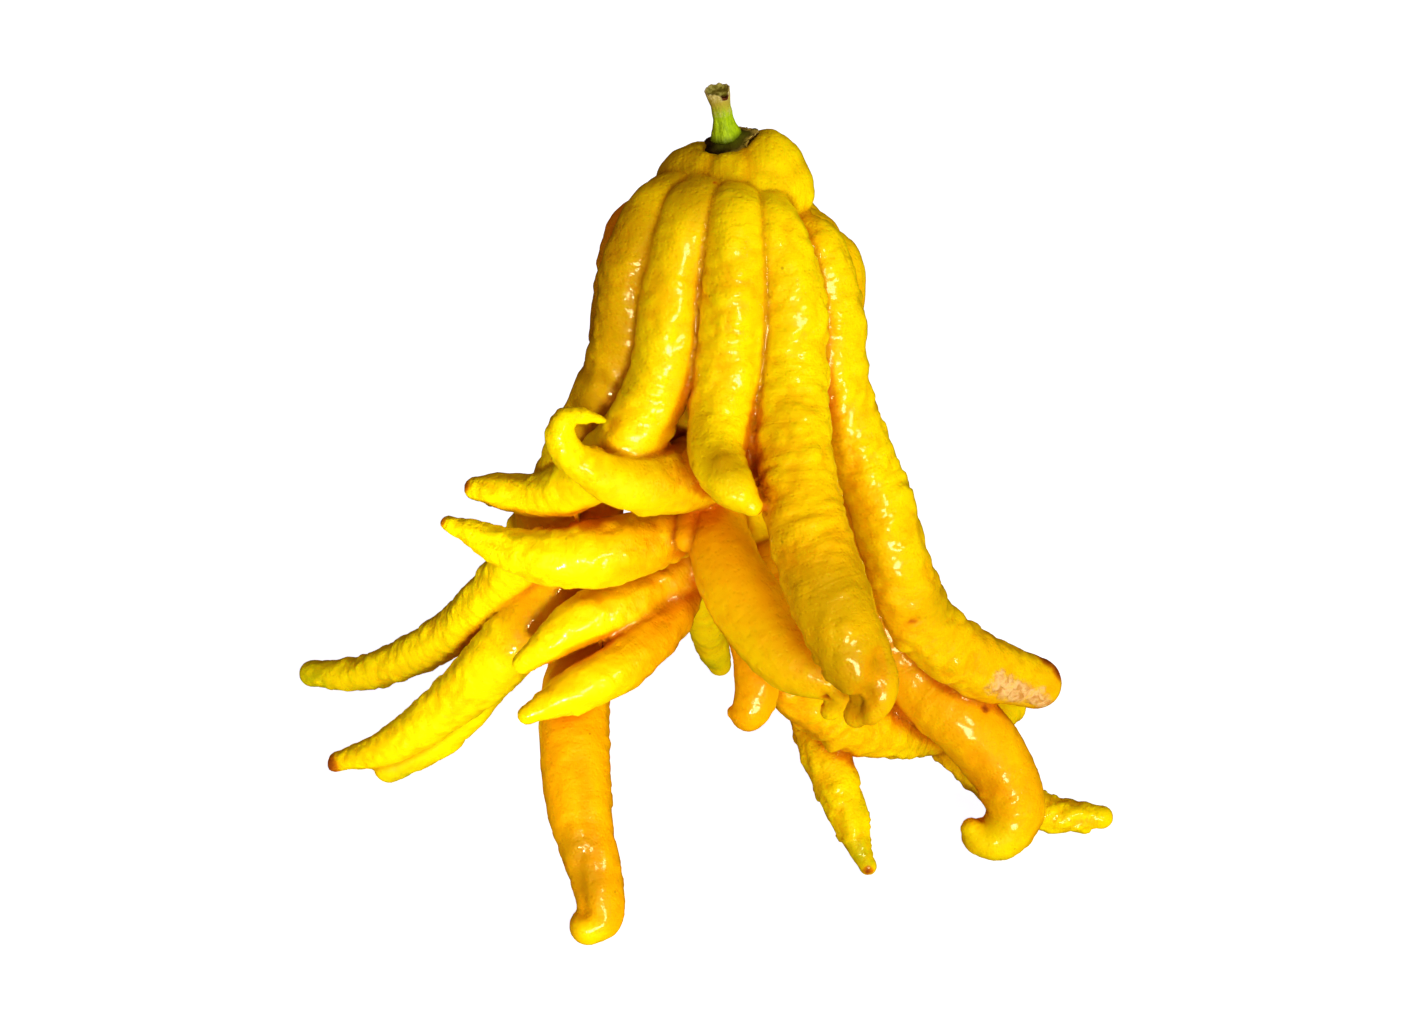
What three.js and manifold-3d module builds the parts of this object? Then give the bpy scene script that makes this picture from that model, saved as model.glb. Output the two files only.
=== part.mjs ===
// Buddha's hand citron, picked with a short stalk and standing on its own fingertips.
// Millimetres, +Z up, the table is z = 0 and the origin is the middle of the footprint.
// The fruit is one body: a ribbed shoulder whose ribs run down and part into long fingers.
import * as THREE from 'three';
import { mergeVertices } from 'three/addons/utils/BufferGeometryUtils.js';
import Module from 'manifold-3d';

const wasm = await Module();
wasm.setup();

// Where the fruit's own axis stands, seen from the middle of its footprint.
const AXIS_X = 11.5;
const AXIS_Y = -4;

// The core that all ribs and fingers grow from, as [radius, height] from the bottom up.
const CORE_PROFILE = [
  [0, 60], [12, 66], [20, 78], [25, 94], [26, 114], [25, 138],
  [22, 156], [19, 165], [16, 171], [12, 176], [7, 180.5], [0, 183],
];

// Rounded lobes of the crown round the stalk, as [x, y, z, radius].
const CROWN_LOBES = [
  [8.4, -2, 178.7, 8.6],
  [-9.6, -1, 174.8, 7.7],
  [12.6, -4, 173.2, 7.5],
  [0.4, -6, 177.6, 6.6],
  [-6, -4, 177, 5.5],
  [6.5, -8, 173.5, 7],
  [5, 7, 174, 8.5],
  [-6, 7, 173, 8],
];

// Centreline of each finger from its root to its tip, as [x, y, z, radius].
const FINGERS = {
  rib_front: [[0, -8, 166, 6], [1, -19, 173, 6.4], [1, -26, 160, 7.5], [0, -30, 142, 8],
    [-2, -36, 129, 7.5], [-3, -45, 124, 6.5], [1, -52, 120, 5], [5, -55, 117, 2.5]],
  rib_front_heel: [[-1, -30, 128, 6.5], [0, -35, 121, 7], [1, -40, 114.5, 6.5], [4.5, -46, 115, 4.5]],
  rib_front_left: [[-4, -8, 168, 5.5], [-8, -16, 173, 6.8], [-13, -23, 157, 7.5],
    [-15.6, -27, 138, 7.7], [-24, -31, 121, 8], [-37, -27, 107, 7], [-48, -21, 100.6, 5.2],
    [-57, -18, 100, 4.5], [-63, -16, 99.6, 3]],
  rib_left: [[-6, -4, 164, 6], [-15, -10, 172, 7], [-22, -15, 161, 7.5], [-25, -17, 141, 7.5],
    [-35, -18, 116, 7.5], [-46, -14, 91, 7.5], [-58, -4, 65, 7.5], [-82, 17, 31, 6.3],
    [-108, 34, 8.5, 5], [-123, 40, 4.6, 4]],
  rib_far_left: [[-10, 0, 164, 6], [-21, -3, 164, 7], [-26, -5, 146, 7], [-28, -5, 124, 7.5],
    [-33, -6, 98, 8], [-41, -9, 71, 8], [-58, -10, 48, 8.5], [-77, -6, 25, 6.8], [-95, -4, 10, 5],
    [-109, 0, 2.5, 2.9]],
  rib_front_right: [[6, -8, 165, 6], [9.5, -17, 169.5, 7.1], [14, -24, 155, 8], [14.7, -30, 138, 8.2],
    [15, -41, 124, 9], [18, -54, 110, 9.5], [23, -65, 98, 9.5], [28, -73, 88, 8],
    [32, -76, 80, 5.5], [29, -75, 73, 3]],
  rib_right: [[12, -4, 160, 6], [20, -10, 163, 6], [24, -15, 150, 7], [26, -19, 132, 7.5],
    [32, -24, 114, 7.7], [37.2, -28, 101, 8.2], [41.5, -31, 86, 8.4], [48.5, -30, 69, 8.6],
    [64, -27, 54, 8.5], [80, -23, 45.5, 6.8]],
  rib_far_right: [[14, 0, 158, 6], [25, -2, 154.5, 6.8], [26.5, -3, 139, 6.7], [28, -6, 114, 7],
    [33, -8, 84, 8], [40, -12, 61, 8.5], [50, -19, 44, 9], [61, -25, 36, 9.5], [71, -29, 24, 9],
    [76, -34, 12, 7.6], [72, -36.5, 5.8, 6.5], [67, -37, 5.6, 5], [64.3, -37, 8.5, 3]],
  rib_back_right: [[12, 4, 162, 6], [21, 7, 156, 6.5], [24.5, 9, 138, 7.5], [28, 13, 114, 8],
    [33, 22, 90, 8.5], [38, 33, 66, 8.5], [45, 44, 44, 8], [55, 54, 24, 6.5], [65, 60, 6, 5],
    [71, 62, 2.7, 3.5]],
  rib_back_right_inner: [[8, 8, 164, 6], [16.5, 16, 157, 7], [20, 20, 142, 7.5], [22, 25, 118, 8],
    [25, 35, 92, 8.5], [28, 47, 68, 8], [36, 59, 46, 7.5], [39, 71, 24, 6.5], [36, 78, 8, 5.5],
    [30, 80, 3.2, 4]],
  rib_back_short: [[4, 10, 164, 6], [9, 20, 163, 7], [11, 26, 144, 7.5], [12, 31, 120, 8],
    [12, 40, 100, 7.5], [14, 52, 86, 6.5], [20, 64, 80, 4.5], [26, 70, 82, 2.5]],
  rib_back: [[-1, 10, 164, 6], [-2, 21, 165, 7], [-2, 28, 148, 7.5], [-3, 33, 124, 8],
    [-4, 39, 102, 8.5], [-8, 48, 78, 8.5], [-12, 60, 56, 8], [-14, 72, 34, 7.5], [-12, 80, 13, 6.5],
    [-6, 84, 4.7, 5.5], [0, 82, 5, 4]],
  rib_back_left_short: [[-6, 10, 164, 6], [-12, 18, 162, 6.5], [-14, 24, 144, 7.5],
    [-16, 30, 120, 8], [-22, 39, 98, 8], [-30, 50, 78, 7.5], [-39, 59, 66, 6], [-47, 64, 62, 3.5]],
  rib_back_left: [[-8, 8, 164, 6], [-18, 11, 162, 6.5], [-22, 15, 143, 7.5], [-25, 22, 118, 8],
    [-30, 31, 95, 8.5], [-36, 43, 72, 8.5], [-45, 55, 48, 8], [-53, 66, 26, 7], [-60, 73, 8, 5.5],
    [-67, 76, 3.2, 4]],
  rib_far_back_left: [[-10, 4, 164, 6], [-20, 4, 160, 6.5], [-25, 5, 142, 7], [-28, 8, 118, 7.5],
    [-33, 14, 94, 8], [-41, 22, 68, 8], [-52, 30, 42, 7.5], [-65, 35, 20, 6], [-73, 37, 3.7, 4.5]],
  curl_front_left: [[-1, -16, 110, 8], [-8, -27, 110.5, 9], [-18, -36, 112.5, 7.8],
    [-28, -41, 116.5, 5.9], [-32.4, -43, 120.4, 4.9], [-36.2, -44, 123.8, 3.9],
    [-39, -44, 129.8, 3.5], [-37.7, -43, 133, 2.7], [-34, -41.5, 133.1, 1.9],
    [-29.4, -40, 131.2, 0.9]],
  point_left: [[-6, -16, 93, 7], [-18, -26, 91, 7.5], [-30, -32, 91, 8.5], [-43, -34, 90.3, 7],
    [-55, -31, 91.8, 5], [-63, -28, 93.8, 3.5], [-69, -26, 95.4, 2]],
  claw_upper: [[-5, -8, 84, 6], [-12, -16, 75, 6.5], [-24, -23, 71, 7], [-36, -28, 69, 6.5],
    [-46, -32, 63, 4.5], [-51.8, -33, 58.6, 2.8]],
  claw_lower: [[-7, -7, 82, 6], [-12, -15, 71, 6.5], [-17, -25, 65, 6.5], [-27, -36, 59.5, 6.5],
    [-39, -42, 56, 5.5], [-50, -46, 52, 2.5]],
  stub_front: [[-6, -14, 98, 4], [-9, -26, 97, 3.6], [-10, -31, 94, 3.3]],
  leg_front_left: [[-22, 2, 66, 8], [-34, -9, 55, 8.5], [-39, -26, 46, 9], [-39, -41, 35, 9],
    [-37, -53, 24.5, 7.8], [-33, -62, 13, 6.5], [-32, -67.5, 5.4, 5.7], [-35, -69.5, 4.2, 4.8]],
  leg_left_inner: [[-20, 4, 74, 6], [-38, 4, 56, 6], [-64, 3, 29.3, 6.3], [-81, 0, 10.7, 6],
    [-94, -4, 3.4, 4.3]],
  thumb_front: [[-2, -12, 106, 6], [-3, -24, 96, 7], [0, -38, 89, 8.5], [8, -48, 80, 9],
    [16, -55, 75, 8.5], [23, -60, 73, 5.5], [27, -62, 69, 3.5], [24, -62, 65, 2.5]],
  hook_front: [[-3, -16, 84, 7], [1, -27, 75, 6], [6, -37, 66, 5.5], [7, -43, 57, 5.5],
    [5, -45, 52, 4.5], [1.6, -45, 52, 2]],
  leg_back_middle: [[-8, 10, 74, 6], [-8, 24, 50, 5.5], [-6, 34, 29, 5.3], [-4, 43, 13, 5],
    [-1.6, 47, 3, 3.5]],
  sweep_right: [[4, -8, 92, 5], [12, -24, 76, 6], [15, -30, 61, 6.5], [19, -31, 48, 7.5],
    [34, -25, 34, 8], [50, -15, 25, 8], [66, -6, 21, 6.5], [79, 1, 20, 4]],
  leg_front_right: [[12, 4, 50, 6], [21, -7, 33, 6], [26, -22, 22, 6.8], [31, -33, 12.5, 5.3],
    [35, -41, 5, 3.4], [36.8, -44, 1.8, 2.4]],
  leg_right_small: [[26, 4, 46, 7], [47, -4, 28.5, 5.2], [67, -17, 12.8, 5.2], [84, -24, 4.4, 5.2],
    [94, -26, 3.8, 4.3], [100.5, -27, 4.4, 3.2]],
  leg_back_inner: [[0, 14, 80, 8], [4, 32, 60, 7.5], [12, 46, 36, 7], [18, 58, 14, 6],
    [17, 66, 4.2, 5]],
  back_left_inner: [[-12, 12, 78, 7], [-24, 26, 58, 7], [-32, 40, 36, 6.5], [-34, 50, 20, 5],
    [-30, 56, 12, 3.5]],
  back_right_inner: [[14, 10, 80, 7], [26, 22, 60, 7], [38, 30, 42, 6.5], [52, 34, 28, 5.5],
    [62, 32, 20, 3.5]],
  back_right_high: [[8, 24, 112, 6], [16, 42, 104, 6], [24, 54, 97, 5], [30, 61, 92, 3]],
  back_left_high: [[-8, 24, 100, 6.5], [-18, 42, 90, 7], [-28, 56, 84, 5.5], [-34, 66, 88, 3.5],
    [-32, 70, 94, 2]],
};

// The woody star that holds the fruit, tilted with the crown, and the stalk that stands on it.
const CALYX_CENTRE = [0, 0, 184.6];
const CALYX_UP = [-0.28, -0.13, 0.95];
const CALYX_RADIUS = 7;
const CALYX_THICKNESS = 1.6;
const CALYX_POINTS = 5;
const CALYX_NOTCH = 0.12;
// Calyx section, as [share of the radius, share of half the thickness], from below to above.
const CALYX_SECTION = [[0, -1], [0.8, -1], [1, -0.4], [1, 0.4], [0.7, 1], [0, 1]];
// Middle of the stalk's foot on the star, the way it leans, and its length from there.
const STALK_ROOT = [-0.8, 0.6, 184.7];
const STALK_UP = [-0.17, -0.14, 0.97];
const STALK_LENGTH = 12.2;
// Stalk outline, as [radius, share of the length], from the flared foot to the cut end.
const STALK_PROFILE = [[3.6, 0], [3.3, 0.1], [2.6, 0.24], [2.2, 0.44], [2.2, 0.62], [2.7, 0.84], [3, 1]];

const JOINT_GAP = 0.3;
const WELD_DISTANCE = 1e-4;
const FINGER_SIDES = 9;
const FINGER_STEP = 14;
const TIP_RINGS = 1;
const CORE_SIDES = 20;
const LOBE_SIDES = 14;
const LOBE_RINGS = 8;
const CALYX_SIDES = 30;
const STALK_SIDES = 12;
const TABLE_CUT = 400;

// A closed geometry as a manifold solid.
function toSolid(geometry) {
  const bare = geometry.clone();
  bare.deleteAttribute('normal');
  bare.deleteAttribute('uv');
  const merged = mergeVertices(bare, WELD_DISTANCE);
  return new wasm.Manifold(new wasm.Mesh({
    numProp: 3,
    vertProperties: new Float32Array(merged.attributes.position.array),
    triVerts: new Uint32Array(merged.index.array),
  }));
}

// A manifold solid as a geometry.
function toGeometry(solid) {
  const mesh = solid.getMesh();
  const geometry = new THREE.BufferGeometry();
  geometry.setAttribute('position', new THREE.BufferAttribute(mesh.vertProperties, 3));
  geometry.setIndex(new THREE.BufferAttribute(mesh.triVerts, 1));
  geometry.computeVertexNormals();
  return geometry;
}

// Stations along a finger: centre, direction and radius, ending in a rounded tip.
function fingerStations(rows) {
  const points = rows.map(([x, y, z]) => new THREE.Vector3(x, y, z));
  const centres = new THREE.CatmullRomCurve3(points, false, 'centripetal');
  const radii = new THREE.SplineCurve(rows.map((row, i) => new THREE.Vector2(i, row[3])));
  const spans = rows.length - 1;
  const stations = [];
  const addStation = (t) => {
    const radius = radii.getPoint(t).y;
    stations.push({ centre: centres.getPoint(t), tangent: centres.getTangent(t), radius });
  };
  for (let span = 0; span < spans; span += 1) {
    const cuts = Math.ceil(points[span].distanceTo(points[span + 1]) / FINGER_STEP);
    for (let cut = 0; cut < cuts; cut += 1) {
      addStation((span + cut / cuts) / spans);
    }
  }
  addStation(1);
  const tip = stations[stations.length - 1];
  for (let ring = 1; ring <= TIP_RINGS; ring += 1) {
    const angle = (ring / (TIP_RINGS + 1)) * (Math.PI / 2);
    const centre = tip.centre.clone().addScaledVector(tip.tangent, tip.radius * Math.sin(angle));
    stations.push({ centre, tangent: tip.tangent, radius: tip.radius * Math.cos(angle) });
  }
  return { stations, end: tip.centre.clone().addScaledVector(tip.tangent, tip.radius) };
}

// A closed tapering tube through the stations, its sections turned as little as possible.
function fingerSolid(rows) {
  const { stations, end } = fingerStations(rows);
  const positions = [];
  const indices = [];
  const side = new THREE.Vector3(1, 0, 0).cross(stations[0].tangent);
  for (const { centre, tangent, radius } of stations) {
    side.addScaledVector(tangent, -side.dot(tangent)).normalize();
    const other = new THREE.Vector3().crossVectors(tangent, side);
    for (let i = 0; i < FINGER_SIDES; i += 1) {
      const angle = (i / FINGER_SIDES) * 2 * Math.PI;
      const point = centre.clone();
      point.addScaledVector(side, radius * Math.cos(angle));
      point.addScaledVector(other, radius * Math.sin(angle));
      positions.push(point.x, point.y, point.z);
    }
  }
  const root = positions.length / 3;
  positions.push(...stations[0].centre.toArray(), ...end.toArray());
  const last = (stations.length - 1) * FINGER_SIDES;
  for (let i = 0; i < FINGER_SIDES; i += 1) {
    const j = (i + 1) % FINGER_SIDES;
    for (let base = 0; base < last; base += FINGER_SIDES) {
      indices.push(base + i, base + j, base + j + FINGER_SIDES);
      indices.push(base + i, base + j + FINGER_SIDES, base + i + FINGER_SIDES);
    }
    indices.push(root, j, i);
    indices.push(root + 1, last + i, last + j);
  }
  const geometry = new THREE.BufferGeometry();
  geometry.setAttribute('position', new THREE.Float32BufferAttribute(positions, 3));
  geometry.setIndex(indices);
  return toSolid(geometry);
}

// Turns a profile of [radius, height] rows about +Z.
function turned(profile, sides) {
  const points = profile.map(([radius, height]) => new THREE.Vector2(radius, height));
  return new THREE.LatheGeometry(points, sides).rotateX(Math.PI / 2);
}

// The largest body of a solid, with the pockets sealed inside it filled.
function outerBody(solid) {
  const bodies = solid.decompose();
  return bodies.reduce((best, body) => (body.volume() > best.volume() ? body : best));
}

// A disc with five blunt points, its middle on CALYX_CENTRE, grown on all sides by a margin.
function calyxGeometry(margin) {
  const radius = CALYX_RADIUS + margin;
  const half = CALYX_THICKNESS / 2 + margin;
  const geometry = turned(CALYX_SECTION.map(([out, up]) => [radius * out, half * up]), CALYX_SIDES);
  const position = geometry.attributes.position;
  for (let i = 0; i < position.count; i += 1) {
    const angle = Math.atan2(position.getY(i), position.getX(i));
    const star = 1 - CALYX_NOTCH * (0.5 - 0.5 * Math.cos(CALYX_POINTS * angle));
    position.setXY(i, position.getX(i) * star, position.getY(i) * star);
  }
  return geometry;
}

// Stands a geometry made along +Z on a point of the crown, leaning the way up points.
function leaning(geometry, point, up) {
  const turn = new THREE.Quaternion();
  turn.setFromUnitVectors(new THREE.Vector3(0, 0, 1), new THREE.Vector3(...up).normalize());
  return geometry.applyQuaternion(turn).translate(...point);
}

function placedCalyx(margin) {
  return leaning(calyxGeometry(margin), CALYX_CENTRE, CALYX_UP);
}

function fruitGeometry() {
  let fruit = toSolid(turned(CORE_PROFILE, CORE_SIDES));
  for (const [x, y, z, radius] of CROWN_LOBES) {
    fruit = fruit.add(toSolid(new THREE.SphereGeometry(radius, LOBE_SIDES, LOBE_RINGS).translate(x, y, z)));
  }
  for (const rows of Object.values(FINGERS)) {
    fruit = fruit.add(fingerSolid(rows));
  }
  fruit = fruit.subtract(toSolid(placedCalyx(JOINT_GAP)));
  const belowTable = new THREE.BoxGeometry(TABLE_CUT, TABLE_CUT, TABLE_CUT).translate(0, 0, -TABLE_CUT / 2);
  fruit = fruit.subtract(toSolid(belowTable));
  return toGeometry(outerBody(fruit));
}

// The stalk, its foot cut to stand clear of the calyx.
function stalkGeometry() {
  const outline = STALK_PROFILE.map(([radius, share]) => [radius, share * STALK_LENGTH]);
  const whole = turned([[0, 0], ...outline, [0, STALK_LENGTH]], STALK_SIDES);
  const stalk = toSolid(leaning(whole, STALK_ROOT, STALK_UP));
  return toGeometry(outerBody(stalk.subtract(toSolid(placedCalyx(JOINT_GAP)))));
}

// A named piece with its own matt or waxy surface.
function piece(name, geometry, color, roughness) {
  const mesh = new THREE.Mesh(geometry, new THREE.MeshStandardMaterial({ color, roughness, metalness: 0 }));
  mesh.name = name;
  return mesh;
}

const citron = new THREE.Group();
citron.add(piece('fruit', fruitGeometry(), 0xf2c500, 0.35));
citron.add(piece('calyx', placedCalyx(0), 0x4a3a1c, 0.75));
citron.add(piece('stalk', stalkGeometry(), 0x86a82e, 0.6));
citron.position.set(AXIS_X, AXIS_Y, 0);

export default citron;
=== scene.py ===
import math

import bpy
import numpy as np
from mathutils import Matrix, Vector, noise


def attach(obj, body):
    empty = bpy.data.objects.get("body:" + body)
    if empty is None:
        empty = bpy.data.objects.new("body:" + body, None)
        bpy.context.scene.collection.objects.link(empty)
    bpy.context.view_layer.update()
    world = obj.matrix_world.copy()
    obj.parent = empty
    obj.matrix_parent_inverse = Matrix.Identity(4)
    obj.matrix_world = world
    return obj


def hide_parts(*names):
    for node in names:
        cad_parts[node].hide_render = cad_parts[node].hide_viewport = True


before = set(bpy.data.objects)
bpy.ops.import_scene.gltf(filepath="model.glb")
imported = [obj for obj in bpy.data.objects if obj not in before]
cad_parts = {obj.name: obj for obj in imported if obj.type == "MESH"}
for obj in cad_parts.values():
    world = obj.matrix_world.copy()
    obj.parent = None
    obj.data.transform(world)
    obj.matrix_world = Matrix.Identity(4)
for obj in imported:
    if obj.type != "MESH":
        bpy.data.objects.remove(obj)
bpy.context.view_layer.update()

MM = 0.001
AXIS = np.array([11.5, -4.0, 0.0])

# ---------------- the fruit's driving dimensions

# The core, as [radius, height] from the bottom up, and the lobes of the crown, as [x, y, z, radius].
CORE_PROFILE = [
    [0, 60], [12, 66], [20, 78], [25, 94], [26, 114], [25, 138],
    [22, 156], [19, 165], [16, 171], [12, 176], [7, 180.5], [0, 183],
]
CROWN_LOBES = [
    [8.4, -2, 178.7, 8.6], [-9.6, -1, 174.8, 7.7], [12.6, -4, 173.2, 7.5], [0.4, -6, 177.6, 6.6],
    [-6, -4, 177, 5.5], [6.5, -8, 173.5, 7], [5, 7, 174, 8.5], [-6, 7, 173, 8],
]

# Centreline of each finger from its root to its tip, as [x, y, z, radius].
FINGERS = {
    "rib_front": [[0, -8, 166, 6], [1, -19, 173, 6.4], [1, -26, 160, 7.5], [0, -30, 142, 8],
        [-2, -36, 129, 7.5], [-3, -45, 124, 6.5], [1, -52, 120, 5], [5, -55, 117, 2.5]],
    "rib_front_heel": [[-1, -30, 128, 6.5], [0, -35, 121, 7], [1, -40, 114.5, 6.5], [4.5, -46, 115, 4.5]],
    "rib_front_left": [[-4, -8, 168, 5.5], [-8, -16, 173, 6.8], [-13, -23, 157, 7.5],
        [-15.6, -27, 138, 7.7], [-24, -31, 121, 8], [-37, -27, 107, 7], [-48, -21, 100.6, 5.2],
        [-57, -18, 100, 4.5], [-63, -16, 99.6, 3]],
    "rib_left": [[-6, -4, 164, 6], [-15, -10, 172, 7], [-22, -15, 161, 7.5], [-25, -17, 141, 7.5],
        [-35, -18, 116, 7.5], [-46, -14, 91, 7.5], [-58, -4, 65, 7.5], [-82, 17, 31, 6.3],
        [-108, 34, 8.5, 5], [-123, 40, 4.6, 4]],
    "rib_far_left": [[-10, 0, 164, 6], [-21, -3, 164, 7], [-26, -5, 146, 7], [-28, -5, 124, 7.5],
        [-33, -6, 98, 8], [-41, -9, 71, 8], [-58, -10, 48, 8.5], [-77, -6, 25, 6.8], [-95, -4, 10, 5],
        [-109, 0, 2.5, 2.9]],
    "rib_front_right": [[6, -8, 165, 6], [9.5, -17, 169.5, 7.1], [14, -24, 155, 8], [14.7, -30, 138, 8.2],
        [15, -41, 124, 9], [18, -54, 110, 9.5], [23, -65, 98, 9.5], [28, -73, 88, 8], [32, -76, 80, 5.5],
        [29, -75, 73, 3]],
    "rib_right": [[12, -4, 160, 6], [20, -10, 163, 6], [24, -15, 150, 7], [26, -19, 132, 7.5],
        [32, -24, 114, 7.7], [37.2, -28, 101, 8.2], [41.5, -31, 86, 8.4], [48.5, -30, 69, 8.6],
        [64, -27, 54, 8.5], [80, -23, 45.5, 6.8]],
    "rib_far_right": [[14, 0, 158, 6], [25, -2, 154.5, 6.8], [26.5, -3, 139, 6.7], [28, -6, 114, 7],
        [33, -8, 84, 8], [40, -12, 61, 8.5], [50, -19, 44, 9], [61, -25, 36, 9.5], [71, -29, 24, 9],
        [76, -34, 12, 7.6], [72, -36.5, 5.8, 6.5], [67, -37, 5.6, 5], [64.3, -37, 8.5, 3]],
    "rib_back_right": [[12, 4, 162, 6], [21, 7, 156, 6.5], [24.5, 9, 138, 7.5], [28, 13, 114, 8],
        [33, 22, 90, 8.5], [38, 33, 66, 8.5], [45, 44, 44, 8], [55, 54, 24, 6.5], [65, 60, 6, 5],
        [71, 62, 2.7, 3.5]],
    "rib_back_right_inner": [[8, 8, 164, 6], [16.5, 16, 157, 7], [20, 20, 142, 7.5], [22, 25, 118, 8],
        [25, 35, 92, 8.5], [28, 47, 68, 8], [36, 59, 46, 7.5], [39, 71, 24, 6.5], [36, 78, 8, 5.5],
        [30, 80, 3.2, 4]],
    "rib_back_short": [[4, 10, 164, 6], [9, 20, 163, 7], [11, 26, 144, 7.5], [12, 31, 120, 8],
        [12, 40, 100, 7.5], [14, 52, 86, 6.5], [20, 64, 80, 4.5], [26, 70, 82, 2.5]],
    "rib_back": [[-1, 10, 164, 6], [-2, 21, 165, 7], [-2, 28, 148, 7.5], [-3, 33, 124, 8],
        [-4, 39, 102, 8.5], [-8, 48, 78, 8.5], [-12, 60, 56, 8], [-14, 72, 34, 7.5], [-12, 80, 13, 6.5],
        [-6, 84, 4.7, 5.5], [0, 82, 5, 4]],
    "rib_back_left_short": [[-6, 10, 164, 6], [-12, 18, 162, 6.5], [-14, 24, 144, 7.5], [-16, 30, 120, 8],
        [-22, 39, 98, 8], [-30, 50, 78, 7.5], [-39, 59, 66, 6], [-47, 64, 62, 3.5]],
    "rib_back_left": [[-8, 8, 164, 6], [-18, 11, 162, 6.5], [-22, 15, 143, 7.5], [-25, 22, 118, 8],
        [-30, 31, 95, 8.5], [-36, 43, 72, 8.5], [-45, 55, 48, 8], [-53, 66, 26, 7], [-60, 73, 8, 5.5],
        [-67, 76, 3.2, 4]],
    "rib_far_back_left": [[-10, 4, 164, 6], [-20, 4, 160, 6.5], [-25, 5, 142, 7], [-28, 8, 118, 7.5],
        [-33, 14, 94, 8], [-41, 22, 68, 8], [-52, 30, 42, 7.5], [-65, 35, 20, 6], [-73, 37, 3.7, 4.5]],
    "curl_front_left": [[-1, -16, 110, 8], [-8, -27, 110.5, 9], [-18, -36, 112.5, 7.8],
        [-28, -41, 116.5, 5.9], [-32.4, -43, 120.4, 4.9], [-36.2, -44, 123.8, 3.9], [-39, -44, 129.8, 3.5],
        [-37.7, -43, 133, 2.7], [-34, -41.5, 133.1, 1.9], [-29.4, -40, 131.2, 0.9]],
    "point_left": [[-6, -16, 93, 7], [-18, -26, 91, 7.5], [-30, -32, 91, 8.5], [-43, -34, 90.3, 7],
        [-55, -31, 91.8, 5], [-63, -28, 93.8, 3.5], [-69, -26, 95.4, 2]],
    "claw_upper": [[-5, -8, 84, 6], [-12, -16, 75, 6.5], [-24, -23, 71, 7], [-36, -28, 69, 6.5],
        [-46, -32, 63, 4.5], [-51.8, -33, 58.6, 2.8]],
    "claw_lower": [[-7, -7, 82, 6], [-12, -15, 71, 6.5], [-17, -25, 65, 6.5], [-27, -36, 59.5, 6.5],
        [-39, -42, 56, 5.5], [-50, -46, 52, 2.5]],
    "stub_front": [[-6, -14, 98, 4], [-9, -26, 97, 3.6], [-10, -31, 94, 3.3]],
    "leg_front_left": [[-22, 2, 66, 8], [-34, -9, 55, 8.5], [-39, -26, 46, 9], [-39, -41, 35, 9],
        [-37, -53, 24.5, 7.8], [-33, -62, 13, 6.5], [-32, -67.5, 5.4, 5.7], [-35, -69.5, 4.2, 4.8]],
    "leg_left_inner": [[-20, 4, 74, 6], [-38, 4, 56, 6], [-64, 3, 29.3, 6.3], [-81, 0, 10.7, 6],
        [-94, -4, 3.4, 4.3]],
    "thumb_front": [[-2, -12, 106, 6], [-3, -24, 96, 7], [0, -38, 89, 8.5], [8, -48, 80, 9],
        [16, -55, 75, 8.5], [23, -60, 73, 5.5], [27, -62, 69, 3.5], [24, -62, 65, 2.5]],
    "hook_front": [[-3, -16, 84, 7], [1, -27, 75, 6], [6, -37, 66, 5.5], [7, -43, 57, 5.5],
        [5, -45, 52, 4.5], [1.6, -45, 52, 2]],
    "leg_back_middle": [[-8, 10, 74, 6], [-8, 24, 50, 5.5], [-6, 34, 29, 5.3], [-4, 43, 13, 5],
        [-1.6, 47, 3, 3.5]],
    "sweep_right": [[4, -8, 92, 5], [12, -24, 76, 6], [15, -30, 61, 6.5], [19, -31, 48, 7.5],
        [34, -25, 34, 8], [50, -15, 25, 8], [66, -6, 21, 6.5], [79, 1, 20, 4]],
    "leg_front_right": [[12, 4, 50, 6], [21, -7, 33, 6], [26, -22, 22, 6.8], [31, -33, 12.5, 5.3],
        [35, -41, 5, 3.4], [36.8, -44, 1.8, 2.4]],
    "leg_right_small": [[26, 4, 46, 7], [47, -4, 28.5, 5.2], [67, -17, 12.8, 5.2], [84, -24, 4.4, 5.2],
        [94, -26, 3.8, 4.3], [100.5, -27, 4.4, 3.2]],
    "leg_back_inner": [[0, 14, 80, 8], [4, 32, 60, 7.5], [12, 46, 36, 7], [18, 58, 14, 6],
        [17, 66, 4.2, 5]],
    "back_left_inner": [[-12, 12, 78, 7], [-24, 26, 58, 7], [-32, 40, 36, 6.5], [-34, 50, 20, 5],
        [-30, 56, 12, 3.5]],
    "back_right_inner": [[14, 10, 80, 7], [26, 22, 60, 7], [38, 30, 42, 6.5], [52, 34, 28, 5.5],
        [62, 32, 20, 3.5]],
    "back_right_high": [[8, 24, 112, 6], [16, 42, 104, 6], [24, 54, 97, 5], [30, 61, 92, 3]],
    "back_left_high": [[-8, 24, 100, 6.5], [-18, 42, 90, 7], [-28, 56, 84, 5.5], [-34, 66, 88, 3.5],
        [-32, 70, 94, 2]],
}

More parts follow.
